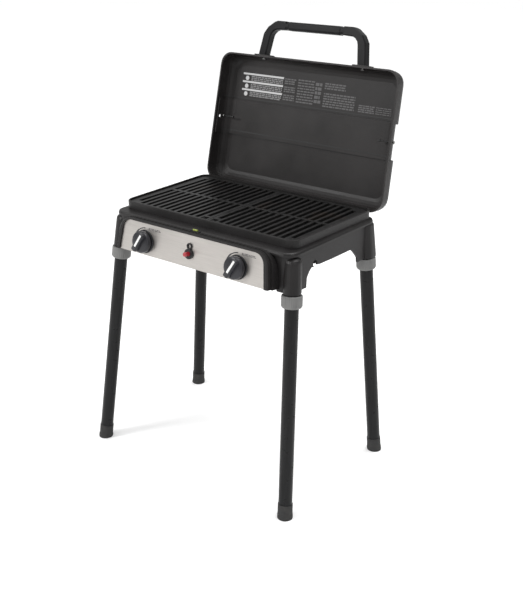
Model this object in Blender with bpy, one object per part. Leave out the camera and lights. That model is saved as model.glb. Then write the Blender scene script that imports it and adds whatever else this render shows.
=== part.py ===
"""Portable two-burner camping stove: lidded cook box on four splayed, detachable legs.

Metres, +Z up, front of the stove towards -Y. The lid is modelled open, resting on its stop.
"""
import math

import bmesh
import bpy
from mathutils import Euler, Matrix, Vector

MM = 0.001
GAP = 0.3 * MM

# Placement of the whole stove so that its bounding box is centred on the origin.
STOVE_SHIFT_Y = -51.68 * MM

# Rim band of the cook box and the ledge below it.
BAND_TOP_Z = 634.0 * MM
LEDGE_Z = 613.0 * MM
BAND_FRONT_Y = -125.6 * MM
BAND_REAR_Y = 183.0 * MM
BAND_FRONT_HALF = 250.0 * MM
BAND_REAR_HALF = 257.0 * MM
BAND_RADIUS = 24.0 * MM
BAND_WALL = 4.0 * MM
GRATE_SEAT_Z = 619.0 * MM
SEAT_THICK = 5.0 * MM
SEAT_DEPTH = 14.0 * MM
FLOOR_TOP_Z = 568.0 * MM
FLOOR_BOTTOM_Z = 564.0 * MM
DRAIN_RADIUS = 12.0 * MM

# Skirt around the tub.
SKIRT_FRONT_Y = -152.0 * MM
SKIRT_REAR_Y = 190.0 * MM
SKIRT_FRONT_HALF = 262.0 * MM
SKIRT_REAR_HALF = 266.0 * MM
SKIRT_RADIUS = 30.0 * MM
SKIRT_WALL = 4.0 * MM
LIP_INSET = 6.0 * MM
SKIRT_BOTTOM_Z = 522.5 * MM
SKIRT_FLARE = 3.0 * MM

# Leg axes: point on the floor and point at the collar centre.
COLLAR_Z = 504.7 * MM
FRONT_FOOT = (290.0 * MM, -195.0 * MM)
FRONT_COLLAR = (255.4 * MM, -138.2 * MM)
REAR_FOOT = (297.0 * MM, 186.4 * MM)
REAR_COLLAR = (254.8 * MM, 165.9 * MM)
FRONT_POST = (20.0 * MM, 18.5 * MM, 600.0 * MM)
REAR_POST = (22.5 * MM, 17.0 * MM, 609.5 * MM)
SPIGOT_RADIUS = 18.0 * MM
SPIGOT_BOTTOM_Z = 498.0 * MM
SOCKET_RADIUS = 16.2 * MM
SOCKET_TOP_Z = 560.0 * MM
LEG_RADIUS = 15.9 * MM
LEG_WALL = 1.6 * MM
LEG_TOP_Z = 556.0 * MM
COLLAR_RADIUS = 23.5 * MM
COLLAR_HALF_HEIGHT = 14.0 * MM
COLLAR_RIBS = 20
FOOT_HEIGHT = 34.0 * MM
FOOT_FLOOR = 8.0 * MM

# Console, described in a frame tilted back about X, origin on the panel at knob height.
CONSOLE_TILT = math.radians(8.7)
CONSOLE_ORIGIN = (0.0, -176.5 * MM, 566.2 * MM)
CONSOLE_BACK_Y = -152.4 * MM
CONSOLE_FOOT_Y = -149.2 * MM
PANEL_TOP = 43.0 * MM
PANEL_BOTTOM = -31.8 * MM
PANEL_TOP_HALF = 204.5 * MM
PANEL_BOTTOM_HALF = 214.0 * MM
PANEL_RADIUS = 25.0 * MM
PANEL_THICK = 1.2 * MM
FRAME_PROUD = 4.0 * MM
KNOB_X = 137.0 * MM
KNOB_RADIUS = 26.0 * MM
KNOB_DEPTH = 21.0 * MM
KNOB_REST = math.radians(30.0)
POINTER_LOW = -11.5 * MM
POINTER_HIGH = 21.8 * MM
BUTTON_RADIUS = 5.2 * MM
BUTTON_REACH = 18.0 * MM

# Lid, described in its own frame: X across, Y from the hinge axis to the front edge, -Z deep.
HINGE_Y = 194.3 * MM
HINGE_Z = 611.4 * MM
LID_LEAN = math.radians(11.35)
LID_EDGE = 6.0 * MM
LID_PLANE = -2.1 * MM
LID_LENGTH = 330.0 * MM
LID_REAR_HALF = 268.5 * MM
LID_FRONT_HALF = 259.4 * MM
LID_DEPTH = 50.0 * MM
LID_WALL = 2.6 * MM
LID_DRAFT = 1.5 * MM
LID_EDGE_RADIUS = 28.0 * MM
BAND_START = 126.0 * MM
BAND_END = 210.0 * MM
BAND_SINK = 4.0 * MM
PEG_REACH = 168.0 * MM
PEG_DEPTH = 25.0 * MM
HINGE_X = 155.0 * MM
KNUCKLE_RADIUS = 5.5 * MM
PIN_RADIUS = 2.5 * MM
HANDLE_NEAR = 16.0 * MM
HANDLE_FAR = 38.0 * MM
HANDLE_FOOT = 333.3 * MM
GRIP_HALF = 83.7 * MM
HANDLE_X = 145.5 * MM

ARC_STEPS = 6


def clear_scene():
    """Remove every object already present."""
    for item in list(bpy.data.objects):
        bpy.data.objects.remove(item, do_unlink=True)


def material(name, colour, metallic, roughness):
    """Return a plain Principled material."""
    made = bpy.data.materials.new(name)
    made.use_nodes = True
    shader = made.node_tree.nodes["Principled BSDF"]
    shader.inputs["Base Color"].default_value = (*colour, 1.0)
    shader.inputs["Metallic"].default_value = metallic
    shader.inputs["Roughness"].default_value = roughness
    made.diffuse_color = (*colour, 1.0)
    return made


def place(name, mesh, slot, parent=None, location=(0, 0, 0), rotation=(0, 0, 0)):
    """Link a mesh as a named object with one material."""
    mesh.name = name
    mesh.materials.clear()
    mesh.materials.append(slot)
    item = bpy.data.objects.new(name, mesh)
    item.location = location
    item.rotation_euler = rotation
    item.parent = parent
    bpy.context.scene.collection.objects.link(item)
    return item


def empty(name, parent=None, location=(0, 0, 0), rotation=(0, 0, 0)):
    """Link an empty used as a reference frame."""
    item = bpy.data.objects.new(name, None)
    item.location = location
    item.rotation_euler = rotation
    item.parent = parent
    item.empty_display_size = 0.03
    bpy.context.scene.collection.objects.link(item)
    return item


def smooth(mesh, angle=32.0):
    """Shade smooth with sharp edges above the angle."""
    mesh.shade_smooth()
    mesh.set_sharp_from_angle(angle=math.radians(angle))
    return mesh


def finish(bm):
    """Turn a bmesh into a mesh with outward faces."""
    bmesh.ops.recalc_face_normals(bm, faces=bm.faces[:])
    mesh = bpy.data.meshes.new("solid")
    bm.to_mesh(mesh)
    bm.free()
    return mesh


def loft(rings):
    """Closed solid through rings of equal point count, capped at both ends."""
    bm = bmesh.new()
    rows = [[bm.verts.new(p) for p in ring] for ring in rings]
    count = len(rows[0])
    for low, high in zip(rows, rows[1:]):
        for i in range(count):
            j = (i + 1) % count
            bm.faces.new((low[i], low[j], high[j], high[i]))
    bm.faces.new(rows[0][::-1])
    bm.faces.new(rows[-1])
    return finish(bm)


def torus_loft(rings):
    """Closed solid through rings joined end to end, without caps."""
    bm = bmesh.new()
    rows = [[bm.verts.new(p) for p in ring] for ring in rings]
    count = len(rows[0])
    for k, low in enumerate(rows):
        high = rows[(k + 1) % len(rows)]
        for i in range(count):
            j = (i + 1) % count
            bm.faces.new((low[i], low[j], high[j], high[i]))
    return finish(bm)


def circle(radius, z, steps=24, start=0.0):
    """Ring of points in a horizontal plane."""
    turn = 2.0 * math.pi / steps
    return [(radius * math.cos(start + turn * i), radius * math.sin(start + turn * i), z)
            for i in range(steps)]


def lathe(profile, steps=24):
    """Solid turned about Z; the profile runs between two flat end faces."""
    return loft([circle(radius, z, steps) for radius, z in profile])


def tube(profile, steps=24):
    """Ring-shaped solid turned about Z from a closed profile."""
    return torus_loft([circle(radius, z, steps) for radius, z in profile])


def box(x0, x1, y0, y1, z0, z1):
    """Axis-aligned block."""
    ring = [(x0, y0), (x1, y0), (x1, y1), (x0, y1)]
    return loft([[(x, y, z) for x, y in ring] for z in (z0, z1)])


def prism(outline, low, high, axis="z"):
    """Outline extruded along one axis; the outline gives the two other coordinates."""
    order = {
        "x": lambda a, b, t: (t, a, b),
        "y": lambda a, b, t: (a, t, b),
        "z": lambda a, b, t: (a, b, t),
    }[axis]
    return loft([[order(a, b, t) for a, b in outline] for t in (low, high)])


def rounded(corners, radii, steps=ARC_STEPS):
    """Polygon with rounded corners; a zero radius keeps the corner sharp."""
    points = []
    count = len(corners)
    for i, radius in enumerate(radii):
        here = Vector(corners[i])
        before = (Vector(corners[i - 1]) - here).normalized()
        after = (Vector(corners[(i + 1) % count]) - here).normalized()
        if radius <= 0.0:
            points.append((here.x, here.y))
            continue
        half = before.angle(after) / 2.0
        reach = radius / math.tan(half)
        centre = here + (before + after).normalized() * (radius / math.sin(half))
        start = here + before * reach - centre
        sweep = math.pi - 2.0 * half
        side = 1.0 if before.cross(after) < 0.0 else -1.0
        for k in range(steps + 1):
            angle = side * sweep * k / steps
            turned = Matrix.Rotation(angle, 2) @ start
            points.append((centre.x + turned.x, centre.y + turned.y))
    return points


def trapezoid(front_half, rear_half, front_y, rear_y, radius, steps=ARC_STEPS):
    """Rounded outline, wider at the rear than at the front."""
    corners = [(-front_half, front_y), (front_half, front_y), (rear_half, rear_y), (-rear_half, rear_y)]
    return rounded(corners, [radius] * 4, steps)


def band_outline(inset, radius=BAND_RADIUS):
    """Outline of the rim band moved inwards."""
    return trapezoid(BAND_FRONT_HALF - inset, BAND_REAR_HALF - inset, BAND_FRONT_Y + inset,
                     BAND_REAR_Y - inset, max(radius - inset, 5.0 * MM))


def skirt_outline(inset):
    """Outline of the skirt moved inwards; negative values move the sides outwards."""
    front = SKIRT_FRONT_Y + max(inset, 0.0)
    return trapezoid(SKIRT_FRONT_HALF - inset, SKIRT_REAR_HALF - inset, front,
                     SKIRT_REAR_Y - max(inset, 0.0), SKIRT_RADIUS - max(inset, 0.0))


def arch_outline(top_half, bottom_half, bottom, top, radius):
    """Console outline: straight bottom, rounded upper corners."""
    corners = [(-bottom_half, bottom), (bottom_half, bottom), (top_half, top), (-top_half, top)]
    return rounded(corners, [0.0, 0.0, radius, radius])


def combine(mesh, other, operation, matrix=None):
    """Exact boolean of two meshes, giving a new mesh."""
    base = bpy.data.objects.new("base", mesh)
    tool = bpy.data.objects.new("tool", other)
    if matrix is not None:
        tool.matrix_world = matrix
    for item in (base, tool):
        bpy.context.scene.collection.objects.link(item)
    step = base.modifiers.new("step", "BOOLEAN")
    step.operation = operation
    step.solver = "EXACT"
    step.object = tool
    bpy.context.view_layer.update()
    graph = bpy.context.evaluated_depsgraph_get()
    result = bpy.data.meshes.new_from_object(base.evaluated_get(graph))
    for item in (base, tool):
        bpy.data.objects.remove(item, do_unlink=True)
    return result


def cut(mesh, *tools, matrix=None):
    """Take every tool away from the mesh."""
    for tool in tools:
        mesh = combine(mesh, tool, "DIFFERENCE", matrix)
    return mesh


def add(mesh, *tools, matrix=None):
    """Merge every tool into the mesh."""
    for tool in tools:
        mesh = combine(mesh, tool, "UNION", matrix)
    return mesh


def along(point, direction):
    """Matrix that puts local Z on a direction through a point."""
    turn = Vector((0.0, 0.0, 1.0)).rotation_difference(Vector(direction))
    return Matrix.Translation(point) @ turn.to_matrix().to_4x4()


def bar_x(radius, x0, x1, y, z, steps=16):
    """Cylinder lying along X."""
    turn = 2.0 * math.pi / steps
    rings = [[(x, y + radius * math.cos(turn * i), z + radius * math.sin(turn * i))
              for i in range(steps)] for x in (x0, x1)]
    return loft(rings)


def bar_y(radius, y0, y1, x, z, steps=16):
    """Cylinder lying along Y."""
    turn = 2.0 * math.pi / steps
    rings = [[(x + radius * math.cos(turn * i), y, z + radius * math.sin(turn * i))
              for i in range(steps)] for y in (y0, y1)]
    return loft(rings)


def leg_axis(side, front):
    """Return the collar centre and the upward unit direction of one leg."""
    foot = FRONT_FOOT if front else REAR_FOOT
    collar = FRONT_COLLAR if front else REAR_COLLAR
    low = Vector((side * foot[0], foot[1], 0.0))
    high = Vector((side * collar[0], collar[1], COLLAR_Z))
    return high, (high - low).normalized()


def on_axis(centre, direction, z):
    """Point of a leg axis at one height."""
    return centre + direction * ((z - centre.z) / direction.z)


def post(side, front):
    """Corner post that carries one leg socket."""
    centre, direction = leg_axis(side, front)
    post_half, post_radius, top = FRONT_POST if front else REAR_POST
    rings = []
    levels = ((SKIRT_BOTTOM_Z, 0.5), (SKIRT_BOTTOM_Z + 2.0 * MM, 0.0), (top - 9.0 * MM, 0.0),
              (top - 4.0 * MM, 2.0), (top, 8.0))
    for z, inset in levels:
        middle = on_axis(centre, direction, z)
        half = post_half - inset * MM - (z - SKIRT_BOTTOM_Z) * 0.02
        corners = [(-half, -half), (half, -half), (half, half), (-half, half)]
        radius = min(post_radius, half - 1.0 * MM)
        rings.append([(middle.x + x, middle.y + y, z) for x, y in rounded(corners, [radius] * 4, 5)])
    body = loft(rings)
    length = (SKIRT_BOTTOM_Z + 4.0 * MM - SPIGOT_BOTTOM_Z) / direction.z
    spigot = lathe([(SPIGOT_RADIUS, 0.0), (SPIGOT_RADIUS, length)], 24)
    return add(body, spigot, matrix=along(on_axis(centre, direction, SPIGOT_BOTTOM_Z), direction))


def side_arch(side):
    """Cutter for the open arch in one side skirt, with its small round notch."""
    line = [(-92, 500), (-91, 521), (-88.5, 544), (-80, 555.5), (-71, 562.5), (-61, 561.5)]
    for k in range(11):
        angle = math.radians(225.0 - 262.0 * k / 10)
        line.append((-57.0 + 8.2 * math.cos(angle), 568.5 + 8.2 * math.sin(angle)))
    line += [(-40, 562), (17, 560.5), (81, 560.5), (90.5, 556.5), (100.5, 547), (112, 534), (114, 500)]
    outline = [(y * MM, z * MM) for y, z in line]
    low, high = sorted((side * 245.0 * MM, side * 300.0 * MM))
    return prism(outline, low, high, "x")


def hinge_ear(x0, x1):
    """Ear on the rear of the cook box that holds a hinge pin."""
    outline = [(181.5 * MM, 603.0 * MM), (190.5 * MM, 598.0 * MM)]
    for k in range(9):
        angle = math.radians(-50.0 + 205.0 * k / 8)
        outline.append((HINGE_Y + KNUCKLE_RADIUS * math.cos(angle),
                        HINGE_Z + KNUCKLE_RADIUS * math.sin(angle)))
    outline.append((181.5 * MM, HINGE_Z - 2.0 * MM))
    return prism(outline, x0, x1, "x")


def tray_rail(side):
    """Hanging rail under the floor for the grease tray."""
    reach = [(99.0, 565.0), (99.0, 541.0), (91.0, 541.0), (91.0, 539.0), (101.5, 539.0), (101.5, 565.0)]
    outline = [(side * x * MM, z * MM) for x, z in reach]
    return prism(outline, -55.0 * MM, 70.0 * MM, "y")


def cook_box():
    """Casting with tub, rim band, ledge, skirt, posts and hinge ears."""
    rings = []
    for z, inset in ((BAND_TOP_Z, 1.5), (BAND_TOP_Z - 1.5 * MM, 0.0), (LEDGE_Z + 1.0 * MM, 0.0)):
        rings.append([(x, y, z) for x, y in band_outline(inset * MM)])
    lip = ((LEDGE_Z, 5.0), (LEDGE_Z - 1.5 * MM, 1.5), (LEDGE_Z - 5.0 * MM, 0.0), (LEDGE_Z - 9.0 * MM, 0.0))
    for z, inset in lip:
        rings.append([(x, y, z) for x, y in skirt_outline(inset * MM)])
    for z, inset in ((LEDGE_Z - 11.0 * MM, LIP_INSET), (SKIRT_BOTTOM_Z, LIP_INSET - SKIRT_FLARE)):
        rings.append([(x, y, z) for x, y in skirt_outline(inset)])
    body = loft(rings)
    inner = LIP_INSET + SKIRT_WALL
    levels = ((LEDGE_Z - 6.0 * MM, inner), (SKIRT_BOTTOM_Z - 5.0 * MM, inner - SKIRT_FLARE))
    body = cut(body, loft([[(x, y, z) for x, y in skirt_outline(inset)] for z, inset in levels]))
    tub = [[(x, y, z) for x, y in band_outline(0.0)] for z in (FLOOR_BOTTOM_Z, LEDGE_Z - 2.0 * MM)]
    body = add(body, loft(tub))
    body = cut(body, side_arch(1), side_arch(-1))
    body = cut(body, box(-212 * MM, 212 * MM, 174 * MM, 205 * MM, 500 * MM, 562 * MM))
    body = cut(body, box(-222 * MM, 222 * MM, -165 * MM, -138 * MM, 500 * MM, 533 * MM))
    body = cut(body, box(-213 * MM, 213 * MM, -165 * MM, -138 * MM, 538 * MM, 600 * MM))
    body = add(body, *[post(side, front) for front in (True, False) for side in (1, -1)])
    pockets = ((BAND_WALL, FLOOR_TOP_Z, GRATE_SEAT_Z - SEAT_THICK),
               (SEAT_DEPTH, GRATE_SEAT_Z - SEAT_THICK - 1.0 * MM, GRATE_SEAT_Z + 1.0 * MM),
               (3.5 * MM, GRATE_SEAT_Z, BAND_TOP_Z + 5.0 * MM))
    for inset, low, high in pockets:
        body = cut(body, loft([[(x, y, z) for x, y in band_outline(inset)] for z in (low, high)]))
    for side in (1, -1):
        for front in (True, False):
            centre, direction = leg_axis(side, front)
            start = on_axis(centre, direction, SPIGOT_BOTTOM_Z - 8.0 * MM)
            length = (SOCKET_TOP_Z - SPIGOT_BOTTOM_Z + 8.0 * MM) / direction.z
            bore = lathe([(SOCKET_RADIUS, 0.0), (SOCKET_RADIUS, length)], 24)
            body = cut(body, bore, matrix=along(start, direction))
        inner = side * (HINGE_X - 8.8 * MM)
        outer = side * (HINGE_X + 8.8 * MM)
        body = add(body, hinge_ear(*sorted((inner, inner - side * 6.0 * MM))),
                   hinge_ear(*sorted((outer, outer + side * 6.0 * MM))))
        ends = sorted((inner, outer))
        body = cut(body, bar_x(KNUCKLE_RADIUS + 0.9 * MM, ends[0], ends[1], HINGE_Y, HINGE_Z, 20))
        pin = sorted((side * (HINGE_X - 30.0 * MM), side * (HINGE_X + 30.0 * MM)))
        body = cut(body, bar_x(PIN_RADIUS + GAP, pin[0], pin[1], HINGE_Y, HINGE_Z, 16))
        body = cut(body, bar_y(11.0 * MM, -135 * MM, -110 * MM, side * KNOB_X, 584 * MM))
        body = add(body, tray_rail(side))
    drain = lathe([(DRAIN_RADIUS, 550.0 * MM), (DRAIN_RADIUS, 580.0 * MM)], 20)
    return smooth(cut(body, drain))


def lid_outline(inset, extra):
    """Outline of the lid in its own frame; extra moves the two sides further inwards."""
    rear = LID_EDGE + inset + 0.25 * extra
    front = LID_EDGE + LID_LENGTH - inset - 0.25 * extra
    wide = LID_REAR_HALF - inset - extra
    narrow = LID_FRONT_HALF - inset - extra
    soften = 0.45 * inset
    radii = [34.0 * MM - soften, 34.0 * MM - soften, 30.0 * MM - soften, 30.0 * MM - soften]
    return rounded([(-wide, rear), (wide, rear), (narrow, front), (-narrow, front)], radii)


def lid_block(skin, sink, start, mouth):
    """Solid dish: skin moves every wall inwards, sink lowers the top and the sides."""
    total = LID_DEPTH - skin - sink
    radius = LID_EDGE_RADIUS - skin
    levels = [(start, mouth), (5.0 * MM, mouth), (6.5 * MM, skin + 0.8 * MM)]
    for k in range(6):
        angle = math.radians(88.0) * k / 5
        inset = LID_DRAFT + skin + radius * (1.0 - math.cos(angle))
        levels.append((total - radius + radius * math.sin(angle), inset))
    rings = []
    for depth, inset in levels:
        rings.append([(x, y, LID_PLANE - depth) for x, y in lid_outline(inset, sink)])
    return loft(rings)


def lid_slab(margin):
    """Block over the middle band of the lid."""
    return box(-0.4, 0.4, LID_EDGE + BAND_START - margin, LID_EDGE + BAND_END + margin,
               LID_PLANE - LID_DEPTH - 0.02, LID_PLANE - 8.0 * MM + margin)


def lid_shell():
    """Lid dish with the recessed middle band, hinge knuckles, handle pads and side holes."""
    outer = cut(lid_block(0.0, 0.0, 0.0, 0.0), lid_slab(0.0))
    outer = add(outer, lid_block(0.0, BAND_SINK, 3.0 * MM, 0.6 * MM))
    for side in (1, -1):
        x0, x1 = sorted((side * (HANDLE_X - 22.0 * MM), side * (HANDLE_X + 21.0 * MM)))
        pad = box(x0, x1, LID_EDGE + 312 * MM, HANDLE_FOOT - GAP + LID_EDGE,
                  LID_PLANE - 41 * MM, LID_PLANE - 13 * MM)
        outer = add(outer, pad)
    inner = cut(lid_block(LID_WALL, 0.0, -4.0 * MM, 3.8 * MM), lid_slab(LID_WALL))
    inner = add(inner, lid_block(LID_WALL, BAND_SINK, -2.0 * MM, 4.2 * MM))
    body = cut(outer, inner)
    for side in (1, -1):
        x0, x1 = sorted((side * (HINGE_X - 8.2 * MM), side * (HINGE_X + 8.2 * MM)))
        web = box(x0 + 0.4 * MM, x1 - 0.4 * MM, 1.3 * MM, LID_EDGE + 2.0 * MM,
                  LID_PLANE - 4.7 * MM, LID_PLANE - 0.2 * MM)
        body = add(body, bar_x(KNUCKLE_RADIUS, x0, x1, 0.0, 0.0, 20), web)
        body = cut(body, bar_x(PIN_RADIUS + GAP, x0 - 0.01, x1 + 0.01, 0.0, 0.0, 16))
        x0, x1 = sorted((side * 0.24, side * 0.29))
        hole = bar_x(4.0 * MM, x0, x1, LID_EDGE + 166 * MM, LID_PLANE - 15.5 * MM)
        peg = bar_x(1.9 * MM, x0, x1, LID_EDGE + PEG_REACH, LID_PLANE - PEG_DEPTH, 10)
        shank = bar_y(2.7 * MM, LID_EDGE + 0.3, LID_EDGE + 0.34, side * HANDLE_X, LID_PLANE - 27 * MM, 12)
        body = cut(body, hole, peg, shank)
    return smooth(body)


def lid_peg(side):
    """Wire peg riveted through one lid wall, with a ball end inside."""
    spans = ((1.5, 222.0, 260.0, 10), (3.2, 251.7, 253.1, 12),
             (3.6, 258.8, 260.6, 12), (2.6, 218.0, 223.0, 12))
    parts = []
    for radius, near, far, steps in spans:
        x0, x1 = sorted((side * near * MM, side * far * MM))
        parts.append(bar_x(radius * MM, x0, x1, LID_EDGE + PEG_REACH, LID_PLANE - PEG_DEPTH, steps))
    return smooth(add(*parts))


def handle_bracket(side):
    """End bracket of the carry handle: leg, chamfered corner and short arm."""
    line = [(157.0, 333.3), (149.0, 384.0), (144.0, 392.0), (138.0, 401.0), (119.0, 414.5),
            (110.0, 417.5), (84.0, 417.5), (84.0, 397.0), (110.0, 396.0), (118.0, 392.5),
            (124.5, 385.5), (127.0, 378.0), (134.0, 333.3)]
    outline = [(side * x * MM, LID_EDGE + y * MM) for x, y in line]
    rings = []
    for depth, inset in ((HANDLE_NEAR, 2.5), (HANDLE_NEAR + 2.5 * MM, 0.0),
                         (HANDLE_FAR - 2.5 * MM, 0.0), (HANDLE_FAR, 2.5)):
        rings.append([(x, y, LID_PLANE - depth) for x, y in inset_outline(outline, inset * MM)])
    body = loft(rings)
    x0, x1 = sorted((side * 70.0 * MM, side * 90.0 * MM))
    tongue = box(x0, x1, LID_EDGE + 402 * MM, LID_EDGE + 412 * MM, LID_PLANE - 32 * MM, LID_PLANE - 22 * MM)
    body = add(body, tongue)
    hole = bar_y(1.9 * MM, LID_EDGE + 0.32, LID_EDGE + 0.352, side * HANDLE_X, LID_PLANE - 27 * MM, 12)
    return smooth(cut(body, hole))


def inset_outline(outline, inset):
    """Outline moved inwards by mitred corners; keeps the two flat ends in place."""
    if inset <= 0.0:
        return outline
    area = sum(a[0] * b[1] - b[0] * a[1] for a, b in zip(outline, outline[1:] + outline[:1]))
    sign = 1.0 if area > 0.0 else -1.0
    moved = []
    count = len(outline)
    for i in range(count):
        here = Vector(outline[i])
        before = (here - Vector(outline[i - 1])).normalized()
        after = (Vector(outline[(i + 1) % count]) - here).normalized()
        one = Vector((-before.y, before.x)) * sign
        two = Vector((-after.y, after.x)) * sign
        flat_one = abs(before.x) < 1e-6 or abs(before.y) < 1e-6 and here.y < LID_EDGE + 0.34
        flat_two = abs(after.x) < 1e-6 or abs(after.y) < 1e-6 and here.y < LID_EDGE + 0.34
        if flat_one:
            moved.append(slide_on(here, before, two, inset))
            continue
        if flat_two:
            moved.append(slide_on(here, after, one, inset))
            continue
        middle = (one + two).normalized()
        point = here + middle * (inset / middle.dot(one))
        moved.append((point.x, point.y))
    return moved


def slide_on(here, direction, normal, inset):
    """Point moved along a fixed edge until it reaches the inset neighbour edge."""
    point = here + direction * (inset / direction.dot(normal))
    return (point.x, point.y)


def handle_grip():
    """Moulded grip between the two handle brackets."""
    middle_y = LID_EDGE + 406.5 * MM
    middle_z = LID_PLANE - 0.5 * (HANDLE_NEAR + HANDLE_FAR)
    rings = []
    stations = ((GRIP_HALF, 8.6, 0.0), (76.0 * MM, 8.6, 0.0), (73.5 * MM, 10.6, 0.6), (70.0 * MM, 10.6, 0.6))
    mirrored = [(-x, y, g) for x, y, g in stations]
    for half_x, half_y, grow in mirrored + list(stations[::-1]):
        half_z = 11.0 * MM + grow * MM
        half = half_y * MM
        outline = oblong(half, half_z, 6.0 * MM)
        rings.append([(half_x, middle_y + y, middle_z + z) for y, z in outline])
    body = loft(rings)
    for side in (1, -1):
        x0, x1 = sorted((side * 69.5 * MM, side * 95.0 * MM))
        socket = box(x0, x1, LID_EDGE + 401.7 * MM, LID_EDGE + 412.3 * MM,
                     LID_PLANE - 32.3 * MM, LID_PLANE - 21.7 * MM)
        body = cut(body, socket)
    return smooth(body)


def screw(head_radius, head_height, shank_radius, length):
    """Pan-head screw along +Z with its head at the bottom."""
    profile = [(head_radius * 0.7, -head_height), (head_radius, -head_height * 0.55), (head_radius, 0.0),
               (shank_radius, 0.0), (shank_radius, length)]
    body = lathe(profile, 16)
    slot = box(-0.5 * MM, 0.5 * MM, -head_radius, head_radius, -head_height - 1 * MM, -head_height * 0.55)
    return smooth(cut(body, slot))


def console_housing():
    """Console casting: raised arch frame in front, a wider step behind, open at the back."""
    flange = arch_outline(221 * MM, 228.5 * MM, -32 * MM, 49.5 * MM, 40 * MM)
    frame = arch_outline(215 * MM, 224 * MM, -32 * MM, 47 * MM, 34 * MM)
    face = arch_outline(212.5 * MM, 221.5 * MM, -32 * MM, 44.5 * MM, 31.5 * MM)
    body = prism(flange, 8.5 * MM, 40.0 * MM, "y")
    front = [[(x, y, z) for x, z in outline]
             for y, outline in ((-FRAME_PROUD, face), (-FRAME_PROUD + 2.5 * MM, frame), (12.0 * MM, frame))]
    body = add(body, loft(front))
    recess = arch_outline(PANEL_TOP_HALF + GAP, PANEL_BOTTOM_HALF + 1.4 * MM, -40 * MM,
                          PANEL_TOP + GAP, PANEL_RADIUS)
    body = cut(body, prism(recess, -9 * MM, PANEL_THICK + GAP, "y"))
    hollow = arch_outline(210.5 * MM, 219.5 * MM, -28.5 * MM, 43 * MM, 30 * MM)
    body = cut(body, prism(hollow, 4.5 * MM, 60 * MM, "y"))
    for x in (-KNOB_X, 0.0, KNOB_X):
        body = cut(body, bar_y(9.0 * MM, -10 * MM, 10 * MM, x, 0.0, 20))
    back = Matrix.Translation(CONSOLE_ORIGIN) @ Euler((-CONSOLE_TILT, 0.0, 0.0)).to_matrix().to_4x4()
    upper = box(-0.3, 0.3, CONSOLE_BACK_Y, 0.0, LEDGE_Z - 11.5 * MM, 0.7)
    lower = box(-0.3, 0.3, CONSOLE_FOOT_Y, 0.01, 0.45, LEDGE_Z - 5.0 * MM)
    body = cut(body, upper, lower, matrix=back.inverted())
    seat = box(-13 * MM, 13 * MM, 10 * MM, 19 * MM, 47.5 * MM, 60 * MM)
    return smooth(cut(body, seat))


def console_panel():
    """Steel fascia plate with the stem and igniter holes."""
    outline = arch_outline(PANEL_TOP_HALF, PANEL_BOTTOM_HALF, PANEL_BOTTOM, PANEL_TOP, PANEL_RADIUS - GAP)
    body = prism(outline, 0.0, PANEL_THICK, "y")
    for x, radius in ((-KNOB_X, 6.0 * MM), (0.0, 8.0 * MM), (KNOB_X, 6.0 * MM)):
        body = cut(body, bar_y(radius, -5 * MM, 5 * MM, x, 0.0, 20))
    return smooth(body)


def oblong(half_x, half_y, radius):
    """Rounded rectangle about the origin."""
    corners = [(-half_x, -half_y), (half_x, -half_y), (half_x, half_y), (-half_x, half_y)]
    return rounded(corners, [radius] * 4, 4)


def knob():
    """Knob along +Z: skirt, raised finger bar and stem bore, front face up."""
    skirt = [(KNOB_RADIUS - 1.5 * MM, 0.0), (KNOB_RADIUS, 1.5 * MM), (KNOB_RADIUS - 1.0 * MM, 9.0 * MM),
             (KNOB_RADIUS - 2.5 * MM, 10.5 * MM), (KNOB_RADIUS - 6.0 * MM, 11.0 * MM)]
    body = lathe(skirt, 32)
    bar = oblong(7.4 * MM, 24.6 * MM, 4.0 * MM)
    top = oblong(5.2 * MM, 23.0 * MM, 3.0 * MM)
    raised = loft([[(x, y, 8 * MM) for x, y in bar], [(x, y, 18.5 * MM) for x, y in bar],
                   [(x, y, KNOB_DEPTH) for x, y in top]])
    body = add(body, raised)
    groove = box(-2.9 * MM, 2.9 * MM, POINTER_LOW - GAP, POINTER_HIGH + GAP, KNOB_DEPTH - 1.2 * MM, 0.03)
    body = cut(body, groove)
    body = cut(body, lathe([(KNOB_RADIUS - 3 * MM, -1 * MM), (KNOB_RADIUS - 3 * MM, 5 * MM)], 24))
    body = add(body, lathe([(6.5 * MM, 1.0 * MM), (6.5 * MM, 8.0 * MM)], 20))
    return smooth(cut(body, lathe([(3.3 * MM, -1 * MM), (3.3 * MM, 13 * MM)], 16)))


def igniter_bezel():
    """Keyhole-shaped escutcheon with an open loop above the button."""
    body = bar_y(12.0 * MM, -4.0 * MM, -GAP, 0.0, 0.0, 32)
    body = add(body, bar_y(7.2 * MM, -3.4 * MM, -GAP, 0.0, 17.5 * MM, 24))
    body = add(body, box(-4 * MM, 4 * MM, -3.4 * MM, -GAP, 2 * MM, 16 * MM))
    body = cut(body, bar_y(4.6 * MM, -9 * MM, 3 * MM, 0.0, 17.5 * MM, 20))
    return smooth(cut(body, bar_y(BUTTON_RADIUS + 0.4 * MM, -9 * MM, 3 * MM, 0.0, 0.0, 24)))


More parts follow.
